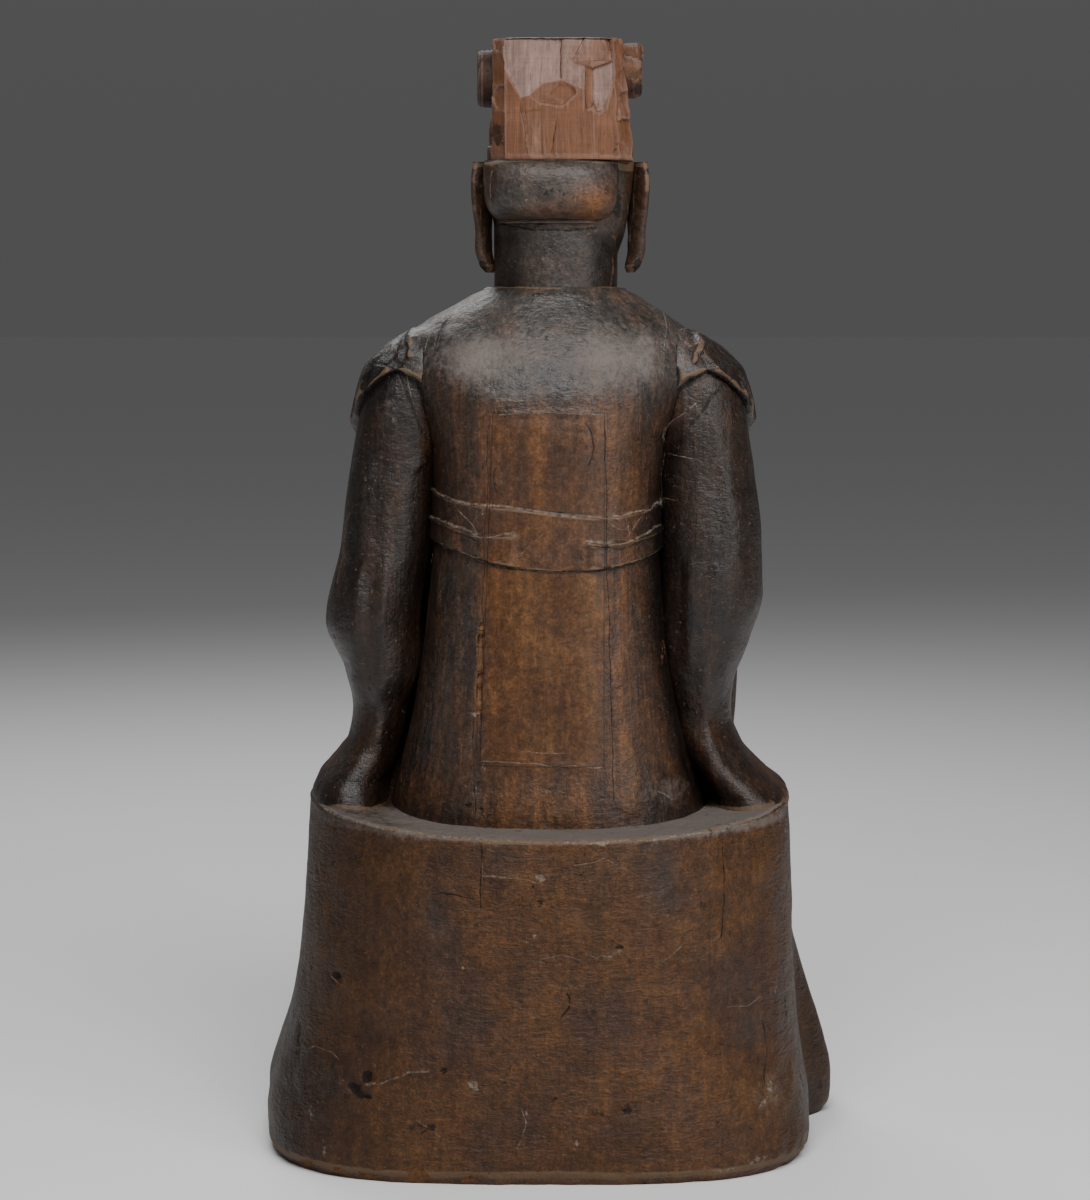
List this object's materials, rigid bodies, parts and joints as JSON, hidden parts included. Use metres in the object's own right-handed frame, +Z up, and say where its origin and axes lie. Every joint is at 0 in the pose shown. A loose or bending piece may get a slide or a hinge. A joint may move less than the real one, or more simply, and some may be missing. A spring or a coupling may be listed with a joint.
{
  "type": "carved wooden figure",
  "caption": "Seated dignitary carved in wood and lacquered, in one with its drum seat, with belted robe, hanging sleeves and a separate block hat.",
  "frame": {"origin": "centre of the flat underside of the drum seat, on the floor", "axes": "+Z up, the figure faces -Y, its left hand is on +X"},
  "size_m": [0.5863, 0.484, 1.1],
  "materials": {
    "lacquered_wood": "worn dark lacquer, satin to glossy, with bare wood at edges and chips",
    "plank_wood": "thin worn reddish-brown lacquer over wood grain",
    "bare_wood": "bare, adzed, aged reddish softwood"
  },
  "bodies": {
    "root": {"figure_on_seat": "lacquered_wood", "back_plank": "plank_wood", "hat": "bare_wood"}
  },
  "joints": []
}
